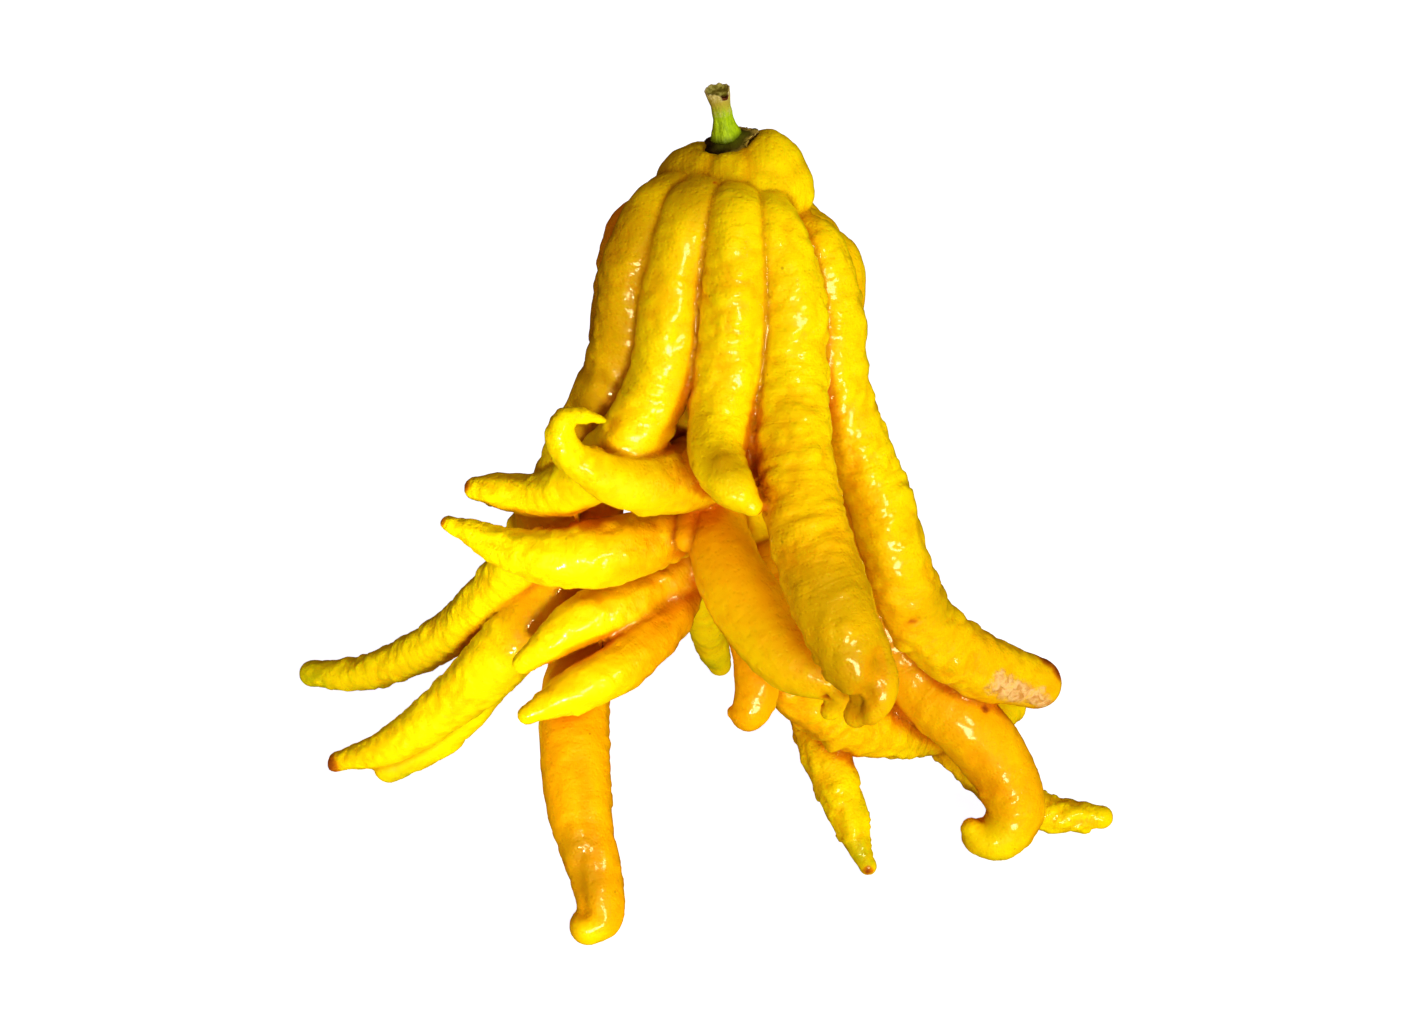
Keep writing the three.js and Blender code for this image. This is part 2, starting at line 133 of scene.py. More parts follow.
# The peel of a finger: how warm it is at its root and at its tip, from lemon at 0 to orange at 1, and
# how bumpy against the usual.
USUAL_PEEL = (0.38, 0.12, 1.0)
FINGER_PEEL = {
    "rib_front": (0.18, 0.2, 1.05), "rib_front_heel": (0.4, 0.6, 0.3), "rib_front_left": (0.25, 0.0, 0.8),
    # The very warm root of rib_far_left is partly painted shade on the fruit's left flank.
    "rib_left": (0.3, 0.0, 0.85), "rib_far_left": (1.15, 0.0, 0.85), "rib_front_right": (0.12, 0.55, 1.1),
    "rib_right": (0.2, 0.45, 1.2), "rib_far_right": (0.35, 0.62, 0.55), "curl_front_left": (0.25, 0.1, 0.8),
    "point_left": (0.35, 0.0, 0.95), "claw_upper": (0.3, 0.1, 0.8), "claw_lower": (0.75, 0.3, 0.7),
    "stub_front": (0.8, 0.6, 1.0), "leg_front_left": (0.7, 0.85, 0.55), "thumb_front": (0.65, 0.35, 0.35),
    "hook_front": (1.0, 0.75, 0.5), "sweep_right": (0.6, 0.2, 1.5), "leg_back_middle": (0.15, 0.0, 0.5),
    "leg_front_right": (0.6, 0.05, 1.0), "leg_left_inner": (0.6, 0.0, 0.7),
    "leg_right_small": (0.38, 0.12, 1.5),
}
# Fingers whose relief dies away towards the tip, with the length over which it does, in mm.
CALM_END = {"rib_front": 35, "rib_front_right": 60, "rib_right": 30}

# The woody star that holds the fruit, and the stalk that stands on it.
CALYX_CENTRE = np.array([0.0, 0.0, 184.6])
CALYX_UP = np.array([-0.28, -0.13, 0.95]) / np.linalg.norm([-0.28, -0.13, 0.95])
CALYX_RADIUS = 7.0
STALK_ROOT = np.array([-0.8, 0.6, 184.7])
STALK_UP = np.array([-0.17, -0.14, 0.97]) / np.linalg.norm([-0.17, -0.14, 0.97])
STALK_LENGTH = 12.2


# ---------------- curves and distances

def smooth(low, high, values):
    """0 below low, 1 above high and an even slope between them."""
    t = np.clip((values - low) / (high - low), 0, 1)
    return t * t * (3 - 2 * t)


def unit(vectors):
    length = np.linalg.norm(vectors, axis=-1, keepdims=True)
    return vectors / np.maximum(length, 1e-9)


def slope(a, b, c, before, after):
    """Slope at b of the curve through a, b and c, with the gaps before and after b."""
    return (b - a) / before - (c - a) / (before + after) + (c - b) / after


def centripetal(rows, step):
    """Samples a centripetal Catmull-Rom curve through rows, as (centres, radii)."""
    points = np.array([row[:3] for row in rows], float)
    radii = np.array([row[3] for row in rows], float)
    ends = np.vstack([2 * points[0] - points[1], points, 2 * points[-1] - points[-2]])
    wide = np.concatenate([radii[:1], radii, radii[-1:]])
    centres, sizes = [], []
    for i in range(1, len(points)):
        before, start, end, after = ends[i - 1:i + 3]
        r0, r1, r2, r3 = wide[i - 1:i + 3]
        gap0 = np.linalg.norm(start - before) ** 0.5
        gap1 = np.linalg.norm(end - start) ** 0.5
        gap2 = np.linalg.norm(after - end) ** 0.5
        leave = slope(before, start, end, gap0, gap1) * gap1
        arrive = slope(start, end, after, gap1, gap2) * gap1
        count = math.ceil(np.linalg.norm(end - start) / step)
        for t in np.arange(count) / count:
            h0, h1 = 2 * t**3 - 3 * t**2 + 1, t**3 - 2 * t**2 + t
            h2, h3 = 3 * t**2 - 2 * t**3, t**3 - t**2
            centres.append(h0 * start + h1 * leave + h2 * end + h3 * arrive)
            sizes.append(h0 * r1 + h1 * ((r2 - r0) / 2) + h2 * r2 + h3 * ((r3 - r1) / 2))
    centres.append(points[-1])
    sizes.append(radii[-1])
    return np.array(centres), np.array(sizes)


class Finger:
    """A tapering tube, with its centreline, and a direction square to it that doesn't twist."""

    STEP = 2.0

    def __init__(self, name, rows):
        self.name = name
        self.centres, self.radii = centripetal(rows, self.STEP)
        steps = np.diff(self.centres, axis=0)
        self.arc = np.concatenate([[0], np.cumsum(np.linalg.norm(steps, axis=1))])
        self.length = self.arc[-1]
        self.tangents = unit(np.gradient(self.centres, axis=0))
        self.sides = np.zeros_like(self.centres)
        side = np.cross([1.0, 0.0, 0.0], self.tangents[0])
        for i, tangent in enumerate(self.tangents):
            side = unit(side - side.dot(tangent) * tangent)
            self.sides[i] = side
        reach = self.radii[:, None]
        self.low = (self.centres - reach).min(0)
        self.high = (self.centres + reach).max(0)

    def nearest(self, points, reach):
        """(index of the points in reach, their distance, the way out, how far along)."""
        near = np.all((points > self.low - reach) & (points < self.high + reach), axis=1)
        index = np.flatnonzero(near)
        p = points[index]
        square = (p**2).sum(1)[:, None] + (self.centres**2).sum(1) - 2 * p @ self.centres.T
        closest = (np.sqrt(np.maximum(square, 0)) - self.radii).argmin(1)
        best = np.full(len(p), np.inf)
        centre = np.zeros_like(p)
        along = np.zeros(len(p))
        for first in (np.maximum(closest - 1, 0), np.minimum(closest, len(self.radii) - 2)):
            a, b = self.centres[first], self.centres[first + 1]
            share = np.clip(((p - a) * (b - a)).sum(1) / ((b - a) ** 2).sum(1), 0, 1)
            at = a + share[:, None] * (b - a)
            radius = self.radii[first] * (1 - share) + self.radii[first + 1] * share
            distance = np.linalg.norm(p - at, axis=1) - radius
            better = distance < best
            best[better] = distance[better]
            centre[better] = at[better]
            along[better] = (self.arc[first] + share * (self.arc[first + 1] - self.arc[first]))[better]
        return index, best, unit(p - centre), along

    def turn(self, points, along):
        """The angle round the centreline, in radians."""
        station = np.clip(np.searchsorted(self.arc, along), 0, len(self.arc) - 1)
        side = self.sides[station]
        other = np.cross(self.tangents[station], side)
        out = points - self.centres[station]
        return np.arctan2((out * other).sum(1), (out * side).sum(1))


class Lobe:
    """A ball of the crown."""

    name = "lobe"
    length = 0.0

    def __init__(self, row):
        self.centre = np.array(row[:3], float)
        self.radius = row[3]

    def nearest(self, points, reach):
        out = points - self.centre
        distance = np.linalg.norm(out, axis=1) - self.radius
        index = np.flatnonzero(distance < reach)
        return index, distance[index], unit(out[index]), np.zeros(len(index))


def nearest_on(points, line):
    """Distance of points to a line through a few points, and the nearest place on it."""
    best = np.full(len(points), np.inf)
    foot = np.zeros_like(points)
    for a, b in zip(line[:-1], line[1:]):
        share = np.clip((points - a) @ (b - a) / ((b - a) @ (b - a)), 0, 1)
        at = a + share[:, None] * (b - a)
        distance = np.linalg.norm(points - at, axis=1)
        better = distance < best
        best[better] = distance[better]
        foot[better] = at[better]
    return best, foot


class Core:
    """The turned body inside the ribs."""

    name = "core"
    length = 0.0

    def __init__(self, profile):
        self.profile = np.array(profile, float)

    def nearest(self, points, reach):
        """Distances in the half plane through the axis and the point."""
        radius = np.hypot(points[:, 0], points[:, 1])
        flat = np.stack([radius, points[:, 2]], axis=1)
        best, foot = nearest_on(flat, self.profile)
        widest = np.interp(points[:, 2], self.profile[:, 1], self.profile[:, 0], left=-1, right=-1)
        inside = radius < widest
        way = unit(flat - foot) * np.where(inside, -1, 1)[:, None]
        spoke = points[:, :2] / np.maximum(radius, 1e-6)[:, None]
        out = np.column_stack([spoke * way[:, :1], way[:, 1]])
        distance = np.where(inside, -best, best)
        index = np.flatnonzero(distance < reach)
        return index, distance[index], out[index], np.zeros(len(index))


SHAPES = [Finger(name, rows) for name, rows in FINGERS.items()]
SHAPES += [Lobe(row) for row in CROWN_LOBES]
SHAPES.append(Core(CORE_PROFILE))

# How softly neighbours run into each other, among the fingers and at the crown, how near a shape
# has to be to count, and what stands for out of reach, in mm.
BLEND = 0.8
CROWN_BLEND = 1.6
CROWN_FOOT = 172.0
CROWN_TOP = 178.0
REACH = 4.0
FAR = 1000.0


def field(points, reach=REACH):
    """Distance of points to the blended surface, and the way out of it."""
    lowest = np.full(len(points), FAR)
    blend = BLEND + (CROWN_BLEND - BLEND) * smooth(CROWN_FOOT, CROWN_TOP, points[:, 2])
    found = [shape.nearest(points, reach)[:3] for shape in SHAPES]
    for index, distance, _ in found:
        lowest[index] = np.minimum(lowest[index], distance)
    total = np.full(len(points), 1e-12)
    way = np.zeros_like(points)
    for index, distance, out in found:
        weight = np.exp((lowest[index] - distance) / blend[index])
        total[index] += weight
        way[index] += weight[:, None] * out
    value = np.where(lowest < FAR, lowest - blend * np.log(np.maximum(total, 1)), FAR)
    return value, unit(way)


class Survey:
    """What lies under each point of the peel: its finger, how far along and round it is, the crease."""

    def __init__(self, points):
        distances = np.full((len(SHAPES), len(points)), FAR)
        places = np.zeros_like(distances)
        for i, shape in enumerate(SHAPES):
            index, distance, _, along = shape.nearest(points, REACH)
            distances[i, index], places[i, index] = distance, along
        self.owner, beside = distances.argsort(0, kind="stable")[:2]
        first, second = np.sort(distances, axis=0)[:2]
        self.apart = second - first
        self.along = places[self.owner, np.arange(len(points))]
        self.turn = np.zeros(len(points))
        self.length = np.ones(len(points))
        for i, shape in enumerate(SHAPES):
            mine = self.owner == i
            if shape.length and mine.any():
                self.turn[mine] = shape.turn(points[mine], self.along[mine])
                self.length[mine] = shape.length
        self.from_tip = np.where(self.length > 1, self.length - self.along, FAR)
        fingers = np.array([shape.length > 0 for shape in SHAPES], float)
        self.fingers_meeting = (fingers[self.owner] + fingers[beside]) / 2

    def unrolled(self, pitch, around, apart):
        """Coordinates along and round each finger for noise, with the fingers set apart in it."""
        aside = around * np.cos(self.turn) + apart * self.owner
        return np.column_stack([self.along / pitch, aside, around * np.sin(self.turn)])

    def per_finger(self, table, usual):
        """A value for each point from a table by finger name."""
        values = np.array([table.get(shape.name, usual) for shape in SHAPES], float)
        return values[self.owner]


# ---------------- the peel's mesh

VOXEL = 1.16
TUBE_SIDES = 20
CAP_RINGS = 4


def spokes(count):
    """The turns round a ring, each with the way out there."""
    turns = np.arange(count) / count * 2 * math.pi
    return [(turn, np.array([math.cos(turn), math.sin(turn)])) for turn in turns]


def tube_faces(rows, columns):
    """Quads between rings of points, with a face over the first ring and over the last."""
    faces = []
    for row in range(rows - 1):
        here, above = row * columns, (row + 1) * columns
        for column in range(columns):
            after = (column + 1) % columns
            faces.append((here + column, here + after, above + after, above + column))
    last = (rows - 1) * columns
    faces.append(tuple(range(columns))[::-1])
    faces.append(tuple(range(last, last + columns)))
    return faces


def ring_mesh(centres, radii, tangents, sides):
    """Vertices and faces of a closed tube."""
    vertices = []
    ways = [way for _, way in spokes(TUBE_SIDES)]
    for centre, radius, tangent, side in zip(centres, radii, tangents, sides):
        other = np.cross(tangent, side)
        vertices += [centre + radius * (way[0] * side + way[1] * other) for way in ways]
    return vertices, tube_faces(len(centres), TUBE_SIDES)


def finger_mesh(finger):
    """The finger's tube with a round cap at each end."""
    angles = np.arange(1, CAP_RINGS + 1) / (CAP_RINGS + 0.5) * math.pi / 2
    ends = []
    for place, sign in ((0, -1), (-1, 1)):
        reach = finger.radii[place] * np.sin(angles)[:, None] * finger.tangents[place] * sign
        ends.append((finger.centres[place] + reach, finger.radii[place] * np.cos(angles)))
    (low, low_radii), (high, high_radii) = ends
    centres = np.vstack([low[::-1], finger.centres, high])
    radii = np.concatenate([low_radii[::-1], finger.radii, high_radii])
    more = ((CAP_RINGS, CAP_RINGS), (0, 0))
    tangents, sides = (np.pad(rows, more, "edge") for rows in (finger.tangents, finger.sides))
    return ring_mesh(centres, radii, tangents, sides)


def upright_mesh(profile):
    """A body turned about the fruit's axis, from [radius, height] rows."""
    radii, heights = np.array(profile, float).T
    side, _, up = np.eye(3)
    count = len(radii)
    return ring_mesh(np.outer(heights, up), np.maximum(radii, 0.2), [up] * count, [side] * count)


def lobe_mesh(lobe):
    angles = np.linspace(-math.pi / 2 + 0.1, math.pi / 2 - 0.1, 14)
    profile = np.column_stack([lobe.radius * np.cos(angles), lobe.radius * np.sin(angles)])
    vertices, faces = upright_mesh(profile)
    return [vertex + lobe.centre for vertex in vertices], faces


def rough_body():
    """All fingers, lobes and the core as overlapping closed meshes in one object."""
    makers = {Finger: finger_mesh, Lobe: lobe_mesh, Core: lambda core: upright_mesh(core.profile)}
    vertices, faces = [], []
    for shape in SHAPES:
        points, corners = makers[type(shape)](shape)
        start = len(vertices)
        vertices += [tuple(point) for point in points]
        faces += [tuple(start + corner for corner in face) for face in corners]
    return vertices, faces


def largest_island(points, quads):
    """Drops what isn't joined to the largest body, such as the walls of a pocket sealed inside."""
    label = np.arange(len(points))
    while True:
        low = label[quads].min(1)
        before = label.copy()
        for corner in range(quads.shape[1]):
            np.minimum.at(label, quads[:, corner], low)
        label = label[label]
        if np.array_equal(label, before):
            break
    names, counts = np.unique(label, return_counts=True)
    keep = label == names[counts.argmax()]
    new_index = np.cumsum(keep) - 1
    return points[keep], new_index[quads[keep[quads[:, 0]]]]


def remeshed(vertices, faces, voxel):
    """One even skin round overlapping closed meshes, as points and quads."""
    mesh = bpy.data.meshes.new("rough")
    mesh.from_pydata(vertices, [], faces)
    rough = add_object("rough", mesh)
    skin = rough.modifiers.new("skin", "REMESH")
    skin.mode = "VOXEL"
    skin.voxel_size = voxel
    skin.adaptivity = 0
    done = rough.evaluated_get(bpy.context.evaluated_depsgraph_get()).to_mesh()
    points = np.zeros(len(done.vertices) * 3)
    done.vertices.foreach_get("co", points)
    corners = np.zeros(len(done.loops), int)
    done.loops.foreach_get("vertex_index", corners)
    bpy.data.objects.remove(rough)
    bpy.data.meshes.remove(mesh)
    return largest_island(points.reshape(-1, 3), corners.reshape(-1, 4))


def add_object(name, data):
    made = bpy.data.objects.new(name, data)
    bpy.context.scene.collection.objects.link(made)
    return made


def mesh_object(name, points, faces):
    """A smoothly shaded mesh object from points in mm in the fruit's frame."""
    mesh = bpy.data.meshes.new(name)
    rows = [tuple(int(corner) for corner in face) for face in faces]
    mesh.from_pydata(((np.asarray(points) + AXIS) * MM).tolist(), [], rows)
    mesh.validate()
    mesh.polygons.foreach_set("use_smooth", [True] * len(mesh.polygons))
    return add_object(name, mesh)


def store(obj, name, values):
    """Keeps a number, or three, for each vertex, for the material to read."""
    values = np.asarray(values, np.float32)
    kind, key = ("FLOAT", "value") if values.ndim == 1 else ("FLOAT_VECTOR", "vector")
    obj.data.attributes.new(name, kind, "POINT").data.foreach_set(key, values.ravel())


# ---------------- relief of the peel

# Wrinkles that run round a finger: their spacing along it in mm, how much they change round it, how
# far apart the fingers lie in the noise, and how high they stand in mm.
RING_PITCH = 3.7
RING_TURNS = 1.4
RING_APART = 7.3
RING_HEIGHT = 1.1
# Broad lumps, knobs and small warts, as (size, height) in mm.
LUMPS = (13.0, 0.42)
KNOBS = (6.0, 0.28)
WARTS = (2.4, 0.12)
# A crease narrower than this between two fingers keeps its relief low, and is this much deeper.
CREASE = 2.4
CREASE_DEPTH = 0.5
# The heights between which the relief dies down towards the crown, and the share of it left there.
CALM_HEIGHTS = (164.0, 180.0)
CALM_SHARE = 0.35
# The seat under the calyx: its depth, the radius of its level middle, how steeply it rises beyond
# that, and how far it reaches, in mm.
SEAT_DEPTH = 1.0
SEAT_MIDDLE = 5.6
SEAT_RISE = 0.55
SEAT_REACH = 10.0
# The peel settles on the blended surface in a few passes, each moving it this far at most, in mm.
SETTLE_PASSES = 3
SETTLE_STEP = 1.5

# Furrows along the peel, as (points, half width, depth), and swellings, whose depth is negative.
FURROWS = {
    "down_the_left_leg": ([[-37, -49, 39], [-35.5, -53.8, 34.6], [-33.5, -61, 26.5],
                           [-33, -66, 19]], 2.8, 0.75),
    "beside_the_left_toe": ([[-37, -64, 22], [-37.5, -67, 14], [-36, -70, 9.5]], 2.0, 0.9),
    "inside_the_long_tip": ([[33, -77, 90], [31.7, -80.5, 84], [28.6, -78.5, 77]], 2.3, 2.6),
    "under_the_long_lip": ([[30.5, -80.5, 82], [27.5, -79, 80], [25.5, -77, 78]], 2.0, 1.8),
    "rim_of_the_long_tip": ([[36.5, -73, 93], [37, -77, 86], [35.5, -79, 80], [31.5, -79, 74.5]],
                            1.9, -1.2),
    "left_of_the_middle_lobe": ([[-3.2, -7, 183], [-5, -9.5, 180.5], [-7, -12, 177]], 1.1, 0.9),
    "beside_the_left_lobe": ([[-6.5, -2, 183.5], [-8, -6, 181], [-9, -8.5, 178.5]], 1.0, 0.8),
    "left_of_the_knob": ([[4.4, -7, 183.5], [4, -11.5, 180], [3.8, -14, 176]], 1.8, 0.7),
    "cut_in_the_thumb": ([[20.5, -63.5, 66], [22.5, -65, 69.5], [22, -64, 73]], 1.0, 1.4),
}
# Pits in the peel, as ([x, y, z], radius, depth), and bumps, whose depth is negative.
PITS = {
    "elbow_dimple": ([66.4, -29.5, 42.1], 1.8, 0.8),
    "elbow_star": ([65.1, -36.2, 30.5], 2.4, 0.7),
    "elbow_hollow": ([66.5, -35, 22], 5.0, 1.2),
    "knee_pit": ([45.2, -39.3, 75.1], 1.8, 0.7),
    "scar_left": ([72.1, -31.4, 54.7], 2.6, 0.7),
    "scar_middle": ([77.2, -30.1, 50.4], 2.2, 0.8),
    "scar_right": ([82.4, -28.3, 46.9], 2.4, 0.6),
    "root_notch": ([-15.2, -26.5, 73.5], 4.0, 2.0),
    "nub_of_the_far_left_tip": ([-111.5, -2.8, 1.2], 2.0, -0.9),
}


def noise_at(coordinates):
    """Even noise between about -1 and 1 at each row of coordinates."""
    return np.array([noise.noise(row) for row in coordinates.tolist()])


def to_line(points, line):
    """Distance of points to a line through a few points."""
    return nearest_on(points, np.array(line, float))[0]


def bumpiness(survey):
    """How bumpy the peel is at each point, against the usual."""
    over = survey.per_finger(CALM_END, 0.1)
    usual = survey.per_finger(FINGER_PEEL, USUAL_PEEL)[:, 2]
    return usual * (0.5 + 0.5 * smooth(0, 1, survey.from_tip / over))


def relief(points, survey):
    """How far each point of the peel stands out, in mm."""
    rough = bumpiness(survey)
    open_peel = smooth(0.2, CREASE, survey.apart)
    end = smooth(-1.5, 5.0, survey.from_tip)
    round_finger = survey.unrolled(RING_PITCH, RING_TURNS, RING_APART)
    on_finger = survey.from_tip < FAR
    across = np.where(on_finger[:, None], round_finger, points / 5.0)
    rings = np.abs(noise_at(across)) * 1.6 - 0.35
    drift = noise_at(across * [0.45, 1.0, 1.0] + 31.7)
    rings_here = RING_HEIGHT * rings * (0.75 + 0.5 * drift) * rough
    lumps = LUMPS[1] * noise_at(points / LUMPS[0] + 5.1)
    warts = WARTS[1] * noise_at(points / WARTS[0] - 9.4) * rough
    knobs = KNOBS[1] * noise_at(points / KNOBS[0] + 2.7) * rough
    height = ((rings_here + knobs) * end + warts) * open_peel
    height += lumps * (0.4 + 0.6 * open_peel) * end
    height *= CALM_SHARE + (1 - CALM_SHARE) * smooth(*CALM_HEIGHTS[::-1], points[:, 2])
    height -= CREASE_DEPTH * survey.fingers_meeting * smooth(0.6 * CREASE, 0.0, survey.apart)
    for line, width, depth in FURROWS.values():
        height -= depth * np.exp(-((to_line(points, line) / width) ** 2))
    for centre, radius, depth in PITS.values():
        away = np.linalg.norm(points - centre, axis=1)
        height -= depth * np.exp(-((away / radius) ** 2))
    return height


def press_seat(points):
    """Presses the crown down under the calyx, so that the calyx lies in a shallow seat."""
    out = points - CALYX_CENTRE
    rise = out @ CALYX_UP
    aside = np.linalg.norm(out - rise[:, None] * CALYX_UP, axis=1)
    limit = SEAT_RISE * np.maximum(aside - SEAT_MIDDLE, 0) ** 2 - SEAT_DEPTH
    over = np.where((aside < SEAT_REACH) & (rise > limit), rise - limit, 0)
    return points - over[:, None] * CALYX_UP


def peel_object():
    points, quads = remeshed(*rough_body(), VOXEL)
    for _ in range(SETTLE_PASSES):
        value, way = field(points)
        points = points - np.clip(value, -SETTLE_STEP, SETTLE_STEP)[:, None] * way
    survey = Survey(points)
    _, way = field(points)
    height = relief(points, survey)
    shaped = press_seat(points + height[:, None] * way)
    shaped[:, 2] = np.maximum(shaped[:, 2], 0)
    peel = mesh_object("peel", shaped, quads)
    paint(peel, points, way, survey, height)
    return peel


# ---------------- masks that colour the peel and paint shade on it

# The shares of a finger's length between which its warmth turns from root to tip, the warmth of
# the crown, and how much cooler a pale patch is.
WARMTH_TURNS = (0.3, 0.8)
CROWN_WARMTH = 0.05
PALER = 0.7

# Distances over which the peel's surroundings are felt for the painted shade in its creases and hollows, in
# mm.
CAVITY_STEPS = (2.5, 6.0, 13.0, 24.0)

# Coloured patches of the peel by place, as ([x, y, z], radius), in mm: the olive ones are partly the peel's
# own olive and partly painted shade.
PATCHES = {
    "olive": [([0.5, -52, 126], 6), ([27, -78, 88], 15), ([24, -70, 102], 13), ([-12, -5, 176], 11),
        ([-3, -10, 178], 9), ([-21, -16, 168], 8), ([-8, -20, 176], 7), ([2, -4, 184], 9),
        ([50, -32, 76], 9), ([33, -77, 90], 8)],
    "green": [([-122, 37, 5], 9), ([36, -43, 5], 6), ([34, -34, 13], 4), ([-4, 42, 8], 5),
        ([-90, -6, 3], 6)],
    "brown": [([-112.5, -2.5, 2.2], 4.8), ([-66.5, -17.5, 101.5], 2.6), ([-71.5, -27.2, 97], 2.2),
        ([83, -20.5, 52.5], 4.6), ([86, -23.5, 50], 3.2), ([66.4, -29.5, 42.1], 1.6),
        ([45.2, -39.3, 75.1], 0.9), ([22.5, -65, 69.5], 1.4), ([104.5, -27, 5], 1.6),
        ([36.6, -46.6, 2.0], 1.8), ([44.4, -39.4, 99.5], 0.9), ([-3.5, -14.5, 179], 0.8)],
}
# Spots of painted shade, soft and a little brown.
SHADE_PATCHES = [
    ([-3, -51.5, 127.5], 5), ([32.5, -78, 89], 2.6), ([31, -80.5, 84], 3.4), ([28.5, -79, 78.5], 3.6),
    ([25.5, -77, 78], 3.4), ([-37.5, -67, 15], 4), ([74, -25, 12], 6), ([-37, -62, 23], 7),
    ([-36, -66, 16], 8),
]
# Fingers with painted shade near the root, browner and duller: how much so, and the shares of their length
# over which it comes and goes.
SHADED_ROOTS = {"rib_left": 0.62, "rib_far_left": 1.0}
SHADED_ROOT_START = (0.04, 0.14)
SHADED_ROOT_END = (0.26, 0.38)
# Where a warm finger turns pale lemon.
PALE_PATCHES = [
    ([-34, -71, 4], 6), ([70, -38, 5], 10), ([63, -39, 8], 5), ([98, -28, 4], 12),
]
# The dried scar on the right: the line it follows, and how far it reaches from it.
SCAR_LINE = [[68.5, -34, 53], [75, -33, 48], [81, -30.5, 44.5]]
SCAR_REACH = 5.8


def patches(points, rows):
    """1 inside the patches and 0 well outside them, with a soft edge."""
    mask = np.zeros(len(points))
    for centre, radius in rows:
        away = np.linalg.norm(points - centre, axis=1)
        mask = np.maximum(mask, smooth(1.3 * radius, 0.2 * radius, away))
    return mask


def cavity(points, way):
    """0 where the peel lies open and towards 1 where other fingers close it in, for painted shade."""
    closed = np.zeros(len(points))
    for step in CAVITY_STEPS:
        value, _ = field(points + step * way, reach=step + 1)
        closed += np.clip(1 - value / step, 0, 1)
    return closed / len(CAVITY_STEPS)


def paint(peel, points, way, survey, height):
    """Stores what the peel's material reads at each point."""
    root, tip, _ = survey.per_finger(FINGER_PEEL, USUAL_PEEL).T
    share = np.clip(survey.along / survey.length, 0, 1)
    on_finger = survey.from_tip < FAR
    warm = np.where(on_finger, root + (tip - root) * smooth(*WARMTH_TURNS, share), CROWN_WARMTH)
    store(peel, "warm", warm - PALER * patches(points, PALE_PATCHES))
    # cavity and crease feed the painted shade in the creases and hollows.
    store(peel, "cavity", cavity(points, way))
    store(peel, "crease", smooth(CREASE, 0.0, survey.apart))
    store(peel, "height", height)
    store(peel, "bumpy", bumpiness(survey))
    # Painted shade near the roots of the far left ribs, and in soft spots.
    root_shade = survey.per_finger(SHADED_ROOTS, 0.0) * smooth(*SHADED_ROOT_START, share) * smooth(*SHADED_ROOT_END[::-1], share)
    store(peel, "shade", np.maximum(root_shade, patches(points, SHADE_PATCHES)))
    for name, rows in PATCHES.items():
        store(peel, name, patches(points, rows))
    store(peel, "scar", smooth(SCAR_REACH, 0.5, to_line(points, SCAR_LINE)))
    store(peel, "ring", np.where(on_finger[:, None], survey.unrolled(1, 6, 40), points))


# ---------------- calyx and stalk

def leaning(points, place, up):
    """Stands points made along +Z on a place of the crown, leaning the way up points."""
    turn = Vector((0, 0, 1)).rotation_difference(Vector(up)).to_matrix()
    return np.asarray(points) @ np.array(turn).T + place


def ripple(way, *layers):
    """Noise round a ring, summed from layers of (height, scale, phase)."""
    return sum(height * noise.noise((*(way * scale), phase)) for height, scale, phase in layers)


CALYX_SIDES = 120
CALYX_POINTS = 5
# How far the rim draws in between its points, as a share of the radius.
CALYX_NOTCH = 0.17
# How far the front and back of the rim hang below its left and right, in mm.
CALYX_DROOP = 1.3
# The calyx from the middle below, out to the rim and back to the middle above: share of the
# radius, and height in mm.
CALYX_SECTION = [
    (0.02, -0.95), (0.3, -0.95), (0.6, -0.9), (0.82, -0.7), (0.95, -0.42), (1.0, -0.1),
    (1.0, 0.18), (0.94, 0.26), (0.84, 0.2), (0.72, 0.32), (0.6, 0.62), (0.5, 0.9), (0.02, 1.0),
]


def calyx_object():
    """Five withered sepals grown into a thin ragged saucer."""
    points = []
    for share, height in CALYX_SECTION:
        for turn, way in spokes(CALYX_SIDES):
            star = 1 - CALYX_NOTCH * (0.5 - 0.5 * math.cos(CALYX_POINTS * turn))
            frayed = ripple(way, (0.055, 5.5, 1.7), (0.03, 16, 4.2))
            radius = CALYX_RADIUS * share * (star + frayed * share**4)
            fold = ripple(way, (0.35, 2.6, share * 1.5), (0.16, 9, share * 3))
            rise = height + fold * share**2 * (1 if height > -0.5 else 0.4)
            rise += 0.45 * share**5 * (1 + way[0]) * 0.5 - CALYX_DROOP * share**2 * way[1] ** 2
            points.append((radius * way[0], radius * way[1], rise))
    faces = tube_faces(len(CALYX_SECTION), CALYX_SIDES)
    calyx = mesh_object("calyx_star", leaning(points, CALYX_CENTRE, CALYX_UP), faces)
    shares, heights = np.repeat(CALYX_SECTION, CALYX_SIDES, axis=0).T
    across, deep, _ = np.array(points).T
    store(calyx, "rim", smooth(0.7, 0.92, shares))
    store(calyx, "above", heights > -0.2)
    store(calyx, "right", smooth(-2.0, 4.5, across - 0.3 * deep))
    store(calyx, "middle", smooth(0.85, 0.5, shares))
    return calyx


STALK_SIDES = 56
STALK_ROWS = 40
# Stalk outline from the flared foot to the cut end: share of the length, and radius in mm.
STALK_OUTLINE = [(0, 3.7), (0.06, 3.6), (0.12, 3.35), (0.2, 2.95), (0.32, 2.55), (0.44, 2.3),
                 (0.52, 2.38), (0.6, 2.25), (0.72, 2.4), (0.86, 2.75), (1.0, 3.0)]
# The hollow in the cut end, from its lip inwards: share of the end's radius, and depth in mm.
STALK_HOLLOW = [(0.93, -0.1), (0.84, 0.1), (0.74, 0.45), (0.6, 0.75), (0.42, 0.85), (0.24, 0.8),
                (0.05, 0.75)]
